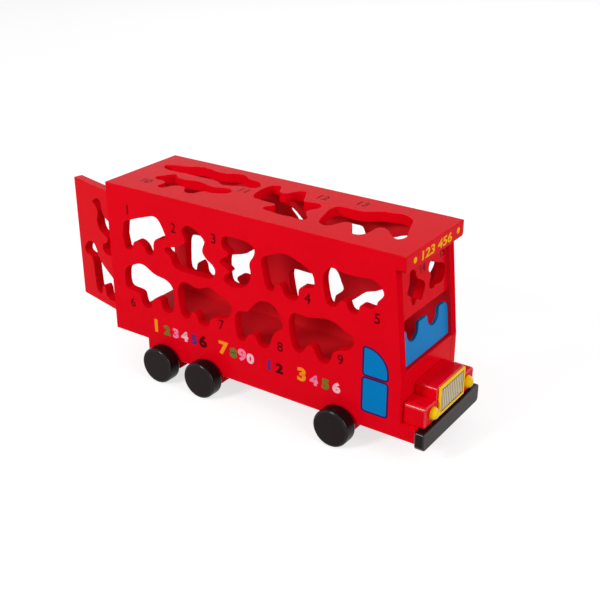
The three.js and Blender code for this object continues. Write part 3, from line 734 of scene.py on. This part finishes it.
@dataclass
class Body:
    """The box of boards that the blocks drop into."""

    dresser: Dresser
    edge: float = 0.7 * MM
    bored_boards: tuple[str, ...] = ("floor_board", "rear_top_rail")
    front_boards: tuple[str, ...] = ("front_lower_panel", "front_upper_panel")
    flush_boards: tuple[str, ...] = ("right_side_panel", "left_side_panel", "roof_board", "header_board")
    stop_low: Triple = (9.6, 68.0, 158.5)
    stop_high: Triple = (17.6, 90.7, 178.7)

    def build(self) -> None:
        """Dress the red boards and the blue windscreen."""
        seams = (
            (Axis.X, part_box("header_board")[0].x),
            (Axis.Z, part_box("roof_board")[0].z),
            (Axis.Z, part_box("chassis")[1].z),
        )
        kinds = (
            (self.bored_boards, {"shortest": BORE_STEP}),
            (self.front_boards, {}),
            (self.flush_boards, {"seams": seams}),
        )
        boards = []
        for nodes, care in kinds:
            for node in nodes:
                boards.append(self.dresser.round_over(node, self.edge, RED, "bus", "red_paint", **care))
        low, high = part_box("floor_board")
        heart = (low + high) / 2.0
        heart.z = (high.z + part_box("roof_board")[0].z) / 2.0
        for board in boards:
            self.dresser.repaint(board, RED_WALL, cut_walls(board.data))
            # The inner faces get the red paint's painted-shade copy.
            self.dresser.repaint(board, RED_INSIDE_SHADE, inner_faces(board.data, heart))
        screen = self.dresser.round_over("windscreen_board", self.edge, BLUE, "bus", "blue_paint")
        # The windscreen's edges and rims get darker blue, partly printed outline and partly painted shade.
        self.dresser.repaint(screen, BLUE_OUTLINE_AND_SHADE, rim_faces(screen.data))
        self.door_stop()

    def door_stop(self) -> None:
        """Glue the block under the roof that the rear door shuts against."""
        origin = Vector((REAR_EDGE, RIGHT_FACE, 0.0))
        low = (origin + Vector(self.stop_low)) * MM
        high = (origin + Vector(self.stop_high)) * MM
        shape = bmesh.new()
        bmesh.ops.create_cube(shape, size=1.0)
        block = Matrix.Translation((low + high) / 2.0) @ Matrix.Diagonal((*(high - low), 1.0))
        bmesh.ops.transform(shape, matrix=block, verts=shape.verts)
        soften(shape, shape.edges[:], self.edge, EDGE_STEPS)
        # The block inside the roof gets the red paint's painted-shade copy too.
        self.dresser.add("door_stop", shape, RED_INSIDE_SHADE, "bus", "red_paint")


@dataclass
class Chassis:
    """The long board under the body and the blocks that hold the axles."""

    dresser: Dresser
    edge: float = 0.9 * MM

    def build(self) -> None:
        """Dress the chassis board and its axle blocks."""
        joint = ((Axis.Z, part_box("chassis")[1].z),)
        self.dresser.round_over(
            "chassis", self.edge, RED, "bus", "red_paint", seams=joint, edge_finish=RED_EDGE
        )
        for node in ("rear_axle_block", "middle_axle_block", "front_axle_block"):
            self.dresser.round_over(node, self.edge, RED, "bus", "red_paint", shortest=BORE_STEP)


@dataclass
class Nose:
    """Bonnet, fenders, grille, headlights and bumper."""

    dresser: Dresser
    block_edge: float = 1.4 * MM
    block_steps: int = 5
    trim_edge: float = 0.5 * MM
    bumper_edge: float = 1.5 * MM
    bumper_steps: int = 4
    rib_depth: float = 0.8 * MM
    rib_edge: float = 0.2 * MM
    rib_steps: int = 2
    outline_width: float = 0.8 * MM
    peg_radius: float = 2.0 * MM
    peg_length: float = 6.0 * MM
    bore_rim: float = 1.0 * MM
    dome_steps: int = 12
    lamp_steps: int = 40

    def build(self) -> None:
        """Dress the nose's pieces."""
        block = {"steps": self.block_steps, "edge_finish": RED_EDGE}
        self.dresser.round_over("bonnet_block", self.block_edge, RED, "bus", "red_paint", **block)
        for hand in ("right", "left"):
            low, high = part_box(f"{hand}_headlight")
            bore = ((low + high) / 2.0, self.peg_radius + self.bore_rim)
            self.dresser.round_over(
                f"{hand}_fender", self.block_edge, RED, "bus", "red_paint", bore=bore, **block
            )
        self.dresser.round_over("grille_frame", self.trim_edge, YELLOW, "bus", "yellow_paint")
        low, high = (Vector(corner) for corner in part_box("grille_plate"))
        ribs = GrillePaint(
            "grille_paint_coat",
            rib=(226, 210, 174),
            groove=(156, 143, 125),
            # Dark colour of the painted shadow along the plate's outline.
            line=(72, 60, 26),
            line_width=self.outline_width,
            rib_depth=self.rib_depth,
            low=low,
            high=high,
        )
        self.dresser.round_over(
            "grille_plate", self.rib_edge, ribs, "bus", "grille_paint", self.rib_steps
        )
        bar = {"steps": self.bumper_steps, "edge_finish": BLACK_EDGE}
        self.dresser.round_over("bumper", self.bumper_edge, BLACK, "bus", "black_paint", **bar)
        for hand in ("right", "left"):
            self.lamp(hand)

    def lamp(self, hand: str) -> None:
        """Turn one domed headlight with its peg.

        Args:
            hand: Right or left.
        """
        node = f"{hand}_headlight"
        low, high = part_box(node)
        seat = low.x + self.peg_length
        centre = Vector((seat, (low.y + high.y) / 2.0, (low.z + high.z) / 2.0))
        dome = high.x - seat
        outline = [(-self.peg_length, 0.0), (-self.peg_length, self.peg_radius), (0.0, self.peg_radius)]
        for step in range(self.dome_steps):
            angle = step * math.pi / (2.0 * self.dome_steps)
            outline.append((dome * math.sin(angle), dome * math.cos(angle)))
        outline.append((dome, 0.0))
        points = [centre + Vector((along, 0.0, out)) for along, out in outline]
        shape = turned(points, centre, FORWARDS, self.lamp_steps)
        self.dresser.add(f"{node}_dome", shape, YELLOW, "bus", "yellow_paint", (node,))


def turned(points: list[Vector], centre: Vector, axis: Vector, steps: int) -> BMesh:
    """Turn an outline into a closed round piece.

    Args:
        points: The outline, from one point on the axis to another.
        centre: A point on the axis.
        axis: The axis' direction.
        steps: Steps in a full turn.

    Returns:
        The piece's shape.
    """
    shape = bmesh.new()
    knots = [shape.verts.new(point) for point in points]
    for first, second in zip(knots, knots[1:]):
        shape.edges.new((first, second))
    bmesh.ops.spin(
        shape,
        geom=shape.verts[:] + shape.edges[:],
        cent=centre,
        axis=axis,
        angle=2.0 * math.pi,
        steps=steps,
        use_merge=True,
    )
    bmesh.ops.remove_doubles(shape, verts=shape.verts, dist=SPIN_WELD)
    bmesh.ops.recalc_face_normals(shape, faces=shape.faces)
    return shape


def dowel(low: Vector, high: Vector, axis: Axis) -> BMesh:
    """Make a round dowel with softened ends that fills a box.

    Args:
        low: The box's lowest corner.
        high: The box's highest corner.
        axis: The axis along the dowel, Y or Z.

    Returns:
        The dowel's shape.
    """
    size = high - low
    radius = max(size[other.value] for other in Axis if other is not axis) / 2.0
    shape = bmesh.new()
    bmesh.ops.create_cone(
        shape,
        cap_ends=True,
        segments=ROUND_SIDES,
        radius1=radius,
        radius2=radius,
        depth=size[axis.value],
    )
    ends = [e for e in shape.edges if e.calc_face_angle() > CORNER_ANGLE]
    soften(shape, ends, DOWEL_CHAMFER, DOWEL_STEPS)
    laid = Matrix.Rotation(math.pi / 2.0, 4, "X") if axis is Axis.Y else Matrix.Identity(4)
    bmesh.ops.transform(shape, matrix=Matrix.Translation((low + high) / 2.0) @ laid, verts=shape.verts)
    return shape


@dataclass
class RollingGear:
    """Three axles with a wheel on each end."""

    dresser: Dresser
    radius: float = 18.0 * MM
    width: float = 14.0 * MM
    edge: float = 2.2 * MM
    socket_radius: float = 3.3 * MM
    socket_depth: float = 9.0 * MM
    rim_steps: int = 6
    steps: int = 72

    def build(self) -> None:
        """Turn the axles and wheels."""
        for place in ("rear", "middle", "front"):
            node = f"{place}_axle"
            shape = dowel(*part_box(node), Axis.Y)
            self.dresser.add(f"{node}_dowel", shape, AXLE_WOOD, f"{place}_wheels", "bare_wood", (node,))
            for hand, sign in (("right", -1.0), ("left", 1.0)):
                self.wheel(place, hand, sign)

    def wheel(self, place: str, hand: str, sign: float) -> None:
        """Turn one wheel with softly rounded rims and a blind socket for the axle.

        Args:
            place: Rear, middle or front.
            hand: Right or left.
            sign: The way from the bus out along Y.
        """
        node = f"{place}_{hand}_wheel"
        low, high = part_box(node)
        inner = low.y if sign > 0.0 else high.y
        centre = Vector(((low.x + high.x) / 2.0, inner, (low.z + high.z) / 2.0))
        rim = self.radius - self.edge
        bore = self.socket_radius
        outline = [(self.socket_depth, 0.0), (self.socket_depth, bore), (0.0, bore)]
        for base, start in ((self.edge, -math.pi / 2.0), (self.width - self.edge, 0.0)):
            for step in range(self.rim_steps + 1):
                angle = start + step * math.pi / (2.0 * self.rim_steps)
                outline.append((base + self.edge * math.sin(angle), rim + self.edge * math.cos(angle)))
        outline.append((self.width, 0.0))
        points = [centre + Vector((0.0, sign * out, -away)) for out, away in outline]
        shape = turned(points, centre, LEFTWARDS, self.steps)
        for face in shape.faces:
            face.normal_update()
            if SQUARE_FACE < abs(face.normal.y) < FLAT_FACE:
                face.material_index = 1
        finishes = [BLACK, BLACK_RIM]
        self.dresser.add(f"{node}_turned", shape, finishes, f"{place}_wheels", "black_paint", (node,))


@dataclass
class RearDoor:
    """The hinged rear door and its two pins."""

    dresser: Dresser
    edge: float = 0.7 * MM

    def build(self) -> None:
        """Dress the door and turn its pins."""
        door = self.dresser.round_over("rear_door", self.edge, RED, "door", "red_paint")
        self.dresser.repaint(door, RED_WALL, cut_walls(door.data))
        for node in ("lower_door_pin", "upper_door_pin"):
            shape = dowel(*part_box(node), Axis.Z)
            self.dresser.add(f"{node}_dowel", shape, PIN_WOOD, "door", "bare_wood", (node,))


@dataclass
class Prints:
    """Plain numerals, panes and dots printed on the paint.

    Sizes are millimetres: along from the rear edge of the sides, up from the ground and across from
    the right face.
    """

    dresser: Dresser
    ink: float = 0.04
    label_height: float = 9.6
    label_weight: float = 0.18
    row_weight: float = 0.75
    row_stretch: float = 1.18
    front_label_height: float = 7.5
    side_labels: tuple[Pair, ...] = (
        (26.0, 165.5), (81.5, 159.5), (128.5, 159.5),
        (229.0, 128.0), (297.5, 128.0), (24.5, 69.5),
        (134.0, 76.0), (200.0, 73.0), (263.0, 79.5),
    )
    left_labels: tuple[Pair, ...] = (
        (30.0, 162.5), (106.0, 160.5), (131.5, 156.0),
        (193.5, 157.0), (242.5, 158.0), (72.5, 108.5),
        (132.0, 97.5), (165.0, 111.3), (220.5, 104.0),
    )
    roof_labels: tuple[Pair, ...] = (
        (31.0, 24.0), (123.0, 53.0), (194.0, 78.0),
        (232.0, 84.0),
    )
    front_labels: tuple[Pair, ...] = ((49.0, 159.0), (84.0, 161.0))
    row_base: float = 45.5
    row_ends: float = 313.0
    row: tuple[tuple[float, float, Ink], ...] = (
        (53.0, 13.6, ORANGE_INK),
        (66.5, 10.4, GREEN_INK),
        (77.5, 10.4, PINK_INK),
        (88.5, 10.4, ROSE_INK),
        (100.0, 10.4, PURPLE_INK),
        (111.0, 12.4, MAROON_INK),
        (135.5, 13.6, ORANGE_INK),
        (147.0, 10.4, GREEN_INK),
        (157.0, 12.4, PINK_INK),
        (166.5, 10.4, ROSE_INK),
        (187.5, 10.4, PURPLE_INK),
        (199.0, 10.4, MAROON_INK),
        (223.0, 13.6, ORANGE_INK),
        (236.0, 10.4, PINK_INK),
        (248.0, 10.4, GREEN_INK),
        (259.5, 10.4, ROSE_INK),
    )
    sign: str = "123 456"
    sign_weight: float = 0.3
    sharpest: float = 0.6
    sign_span: Pair = (26.0, 78.0)
    sign_rise: Pair = (176.0, 184.4)
    dots: tuple[Pair, ...] = ((14.5, 180.6), (89.5, 181.4))
    dot_radius: float = 2.7
    panes: tuple[tuple[str, Pair, Pair, Radii], ...] = (
        ("upper", (22.4, 25.0), (297.7, 86.0), (2.0, 2.0, 20.5, 1.5)),
        ("lower", (23.0, 31.0), (297.5, 54.0), (2.0, 2.0, 2.0, 2.0)),
    )
    pane_border: float = 1.9
    pane_steps: int = 10
    font_steps: int = 6
    lean: float = math.radians(5.565)
    board: float = 9.0

    def build(self) -> None:
        """Print everything."""
        self.print_labels()
        for plane in (Plane.RIGHT_SIDE, Plane.LEFT_SIDE):
            self.print_row(plane)
            self.print_panes(plane)
        self.print_sign()

    def print_labels(self) -> None:
        """Print the small dark numerals beside the cut-outs, counted on from face to face."""
        groups = (
            ("right_side", Plane.RIGHT_SIDE, self.label_height, self.side_labels),
            ("roof", Plane.ROOF, self.label_height, self.roof_labels),
            ("front", Plane.LEANING_FRONT, self.front_label_height, self.front_labels),
            ("left_side", Plane.LEFT_SIDE, self.label_height, self.left_labels),
        )
        number = 0
        for group, plane, height, spots in groups:
            for index, spot in enumerate(spots):
                number += 1
                shape = self.numeral(str(number), height, self.label_weight)
                self.place(shape, plane, *spot)
                self.dresser.add(f"{group}_numeral_{index + 1}", shape, DARK_INK, "bus", "black_paint")

    def print_row(self, plane: Plane) -> None:
        """Print the row of coloured numerals along the foot of a side.

        Args:
            plane: The side.
        """
        for index, (along, height, ink) in enumerate(self.row):
            shape = self.numeral(str((index + 1) % 10), height, self.row_weight)
            bmesh.ops.scale(shape, vec=(self.row_stretch, 1.0, 1.0), verts=shape.verts)
            place = along if plane is Plane.RIGHT_SIDE else self.row_ends - along
            self.place(shape, plane, place, self.row_base + height / 2.0)
            self.dresser.add(f"{plane.value}_row_numeral_{index + 1}", shape, ink, "bus", "yellow_paint")

    def numeral(self, text: str, height: float, weight: float) -> BMesh:
        """Make printed numerals as a thin plate round the origin.

        Args:
            text: The digits.
            height: Their height in millimetres.
            weight: How far the strokes' edges are moved outwards in millimetres.

        Returns:
            The plate in metres, facing +Z, with its foot at zero.
        """
        curve = bpy.data.curves.new("digits", "FONT")
        curve.body = text
        curve.resolution_u = self.font_steps
        curve.fill_mode = "FRONT"
        holder = bpy.data.objects.new("digits", curve)
        bpy.context.scene.collection.objects.link(holder)
        bpy.context.view_layer.update()
        flat = bpy.data.meshes.new_from_object(holder)
        bpy.data.objects.remove(holder)
        bpy.data.curves.remove(curve)
        shape = bmesh.new()
        shape.from_mesh(flat)
        bpy.data.meshes.remove(flat)
        bmesh.ops.remove_doubles(shape, verts=shape.verts, dist=FONT_WELD)
        lows = [min(v.co[i] for v in shape.verts) for i in range(2)]
        highs = [max(v.co[i] for v in shape.verts) for i in range(2)]
        scale = (height - weight * 2.0) * MM / (highs[1] - lows[1])
        middle = Vector(((lows[0] + highs[0]) / 2.0, (lows[1] + highs[1]) / 2.0, 0.0))
        fitted = Matrix.Scale(scale, 4) @ Matrix.Translation(-middle)
        bmesh.ops.transform(shape, matrix=fitted, verts=shape.verts)
        self.embolden(shape, weight)
        return self.thicken(shape, self.ink)

    def embolden(self, shape: BMesh, weight: float) -> None:
        """Move a flat print's outline outwards, so that its strokes are bolder.

        Args:
            shape: Flat faces at zero height, changed in place.
            weight: How far the outline moves in millimetres.
        """
        moves = []
        for point in shape.verts:
            rims = [edge for edge in point.link_edges if edge.is_boundary]
            if len(rims) == 2:
                first, second = (self.outward(edge) for edge in rims)
                moves.append((point, (first + second) / max(self.sharpest, 1.0 + first.dot(second))))
        for point, move in moves:
            point.co += move * weight * MM

    def outward(self, edge: bmesh.types.BMEdge) -> Vector:
        """Find the way out of a print at one of its rim edges.

        Args:
            edge: The rim edge.

        Returns:
            The direction in the print's plane, one long.
        """
        corner = edge.link_loops[0]
        run = corner.link_loop_next.vert.co - corner.vert.co
        return Vector((run.y, -run.x, 0.0)).normalized() * math.copysign(1.0, corner.face.normal.z)

    def thicken(self, shape: BMesh, ink: float) -> BMesh:
        """Give a flat print its thin coat of ink.

        Args:
            shape: Flat faces at zero height, changed in place.
            ink: The coat's thickness in millimetres.

        Returns:
            The same shape as a closed plate.
        """
        raised = bmesh.ops.extrude_face_region(shape, geom=shape.faces[:])
        top = [item for item in raised["geom"] if isinstance(item, bmesh.types.BMVert)]
        bmesh.ops.translate(shape, verts=top, vec=(0.0, 0.0, ink * MM))
        bmesh.ops.recalc_face_normals(shape, faces=shape.faces)
        return shape

    def place(self, shape: BMesh, plane: Plane, along: float, up: float) -> None:
        """Lay a print on its face.

        Args:
            shape: The print, round the origin and facing +Z.
            plane: The face that it lies on.
            along: Its first place on that face in millimetres.
            up: Its second place on that face in millimetres.
        """
        if plane is Plane.RIGHT_SIDE:
            run, rise = FORWARDS, UPWARDS
            point = Vector((REAR_EDGE + along, RIGHT_FACE, up)) * MM
        elif plane is Plane.LEFT_SIDE:
            run, rise = -FORWARDS, UPWARDS
            point = Vector((REAR_EDGE + along, LEFT_FACE, up)) * MM
        elif plane is Plane.ROOF:
            run, rise = FORWARDS, LEFTWARDS
            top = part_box("roof_board")[1].z
            point = Vector(((REAR_EDGE + along) * MM, (RIGHT_FACE + up) * MM, top))
        elif plane is Plane.HEADER:
            run, rise = LEFTWARDS, UPWARDS
            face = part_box("header_board")[1].x
            point = Vector((face, (RIGHT_FACE + along) * MM, up * MM))
        else:
            run, rise = LEFTWARDS, Vector((-math.sin(self.lean), 0.0, math.cos(self.lean)))
            low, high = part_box("front_upper_panel")
            foot = low.z + self.board * MM * math.sin(self.lean)
            point = Vector((high.x, (RIGHT_FACE + along) * MM, foot))
            point += rise * (up * MM - foot) / math.cos(self.lean)
        facing = Matrix((run, rise, run.cross(rise))).transposed().to_4x4()
        bmesh.ops.transform(shape, matrix=Matrix.Translation(point) @ facing, verts=shape.verts)

    def print_sign(self) -> None:
        """Print the header's numerals and its two dots."""
        low, high = self.sign_rise
        shape = self.numeral(self.sign, high - low, self.sign_weight)
        width = max(v.co.x for v in shape.verts) - min(v.co.x for v in shape.verts)
        stretch = (self.sign_span[1] - self.sign_span[0]) * MM / width
        bmesh.ops.scale(shape, vec=(stretch, 1.0, 1.0), verts=shape.verts)
        self.place(shape, Plane.HEADER, sum(self.sign_span) / 2.0, (low + high) / 2.0)
        self.dresser.add("header_sign_numerals", shape, SIGN_INK, "bus", "yellow_paint")
        for index, (across, up) in enumerate(self.dots):
            dot = bmesh.new()
            bmesh.ops.create_circle(dot, cap_ends=True, segments=ROUND_SIDES, radius=self.dot_radius * MM)
            self.thicken(dot, self.ink)
            self.place(dot, Plane.HEADER, across, up)
            self.dresser.add(f"header_dot_{index + 1}", dot, SIGN_INK, "bus", "yellow_paint")

    def pane(self, size: Pair, radii: Radii) -> BMesh:
        """Draw a flat pane with rounded corners.

        Args:
            size: Width and height in millimetres.
            radii: Radii of its corners in millimetres, from the lower left one round by the right.

        Returns:
            One flat face round the origin, in metres.
        """
        half = (size[0] / 2.0 * MM, size[1] / 2.0 * MM)
        shape = bmesh.new()
        signs = ((-1, -1), (1, -1), (1, 1), (-1, 1))
        points = [shape.verts.new((sx * half[0], sz * half[1], 0.0)) for sx, sz in signs]
        shape.faces.new(points)
        for point, radius in zip(points, radii):
            soften(shape, [point], radius * MM, self.pane_steps, "VERTICES")
        return shape

    def print_panes(self, plane: Plane) -> None:
        """Print the two blue panes of a cab door with their outlines.

        Args:
            plane: The side that the door is on.
        """
        layers = (("_border", self.pane_border, self.ink, OUTLINE_INK), ("", 0.0, self.ink * 2.0, PANE_INK))
        for name, (width, height), middle, radii in self.panes:
            if plane is Plane.LEFT_SIDE:
                radii = (radii[1], radii[0], radii[3], radii[2])
            for ending, grow, coat, ink in layers:
                wide = (width + grow * 2.0, height + grow * 2.0)
                shape = self.thicken(self.pane(wide, tuple(radius + grow for radius in radii)), coat)
                self.place(shape, plane, *middle)
                self.dresser.add(f"{plane.value}_{name}_pane{ending}", shape, ink, "bus", "blue_paint")


@dataclass
class Studio:
    """Camera, floor and soft lights."""

    azimuth: float = 34.4977
    elevation: float = 25.388
    roll: float = -0.0617
    focal_pixels: float = 1021.926
    eye: Triple = (666.847 + REAR_EDGE, -648.091 + RIGHT_FACE, 497.759)
    clip: Pair = (0.01, 50.0)
    floor_reach: float = 6.0
    floor_tone: Shade = (0.45, 0.45, 0.45, 1.0)
    floor_roughness: float = 0.9
    floor_glow: float = 0.7
    room_light: float = 0.42
    aim: Triple = (0.0, 0.0, 0.08)
    lamps: tuple[tuple[str, Triple, float, float], ...] = (
        ("key_softbox", (-0.6, -1.8, 1.15), 0.5, 24.5),
        ("front_softbox", (1.9, -0.3, 0.9), 1.2, 15.0),
        ("back_softbox", (-0.9, 1.6, 1.2), 1.8, 3.0),
        ("left_fill", (0.4, 2.2, 0.55), 1.2, 12.0),
    )

    def build(self) -> None:
        """Set up the whole studio."""
        self.camera()
        self.floor()
        self.world()
        for name, place, size, power in self.lamps:
            self.lamp(name, Vector(place), size, power)
        bpy.context.scene.view_settings.view_transform = "Standard"

    def camera(self) -> None:
        """Stand the camera where the photograph was taken."""
        a, e, r = (math.radians(v) for v in (self.azimuth, self.elevation, self.roll))
        back = Vector((math.sin(a) * math.cos(e), -math.cos(a) * math.cos(e), math.sin(e)))
        right = Vector((math.cos(a), math.sin(a), 0.0))
        up = back.cross(right)
        tilted_right = right * math.cos(r) + up * math.sin(r)
        tilted_up = up * math.cos(r) - right * math.sin(r)
        data = bpy.data.cameras.new("photo_camera")
        data.sensor_width = SENSOR_MM
        data.lens = self.focal_pixels * SENSOR_MM / IMAGE_PIXELS
        data.clip_start, data.clip_end = self.clip
        eye = bpy.data.objects.new("photo_camera", data)
        axes = Matrix((tilted_right, tilted_up, back)).transposed().to_4x4()
        eye.matrix_world = Matrix.Translation(Vector(self.eye) * MM) @ axes
        bpy.context.scene.collection.objects.link(eye)
        bpy.context.scene.camera = eye

    def floor(self) -> None:
        """Lay the pale floor, which keeps the shadow and is white to the camera."""
        shape = bmesh.new()
        bmesh.ops.create_grid(shape, x_segments=1, y_segments=1, size=self.floor_reach)
        mesh = bpy.data.meshes.new("floor")
        shape.to_mesh(mesh)
        shape.free()
        graph = SurfaceGraph("pale_floor")
        fill(graph.shader, Base_Color=self.floor_tone, Roughness=self.floor_roughness)
        fill(graph.shader, Specular_IOR_Level=0.0, Emission_Color=WHITE)
        glow = graph.math("MULTIPLY", graph.seen(), "Value", self.floor_glow)
        graph.link(glow, "Value", graph.shader, "Emission Strength")
        mesh.materials.append(graph.material)
        floor = bpy.data.objects.new("floor", mesh)
        bpy.context.scene.collection.objects.link(floor)

    def world(self) -> None:
        """Fill the room with plain light, and make it white to the camera and in reflections."""
        world = bpy.data.worlds.new("studio_room")
        world.use_nodes = True
        graph = NodeGraph(world.node_tree)
        room = world.node_tree.nodes["Background"]
        fill(room, Color=WHITE)
        strength = graph.add("ShaderNodeMapRange", To_Min=self.room_light, To_Max=1.0)
        graph.link(graph.seen(), "Value", strength, "Value")
        graph.link(strength, "Result", room, "Strength")
        bpy.context.scene.world = world

    def lamp(self, name: str, place: Vector, size: float, power: float) -> None:
        """Hang one softbox that points at the bus.

        Args:
            name: The lamp's name.
            place: Where it hangs in metres.
            size: Width of its face in metres.
            power: Its power in watts.
        """
        data = bpy.data.lights.new(name, "AREA")
        data.shape = "SQUARE"
        data.size = size
        data.energy = power
        lamp = bpy.data.objects.new(name, data)
        facing = (Vector(self.aim) - place).to_track_quat("-Z", "Y")
        lamp.matrix_world = Matrix.Translation(place) @ facing.to_matrix().to_4x4()
        bpy.context.scene.collection.objects.link(lamp)


def main() -> None:
    """Load the frame, dress the bus and light it."""
    logging.basicConfig(level=logging.INFO, format="%(name)s: %(message)s")
    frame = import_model()
    dresser = Dresser(frame)
    Studio().build()
    Chassis(dresser).build()
    Body(dresser).build()
    Nose(dresser).build()
    RollingGear(dresser).build()
    RearDoor(dresser).build()
    Prints(dresser).build()


if __name__ == "__main__":
    main()
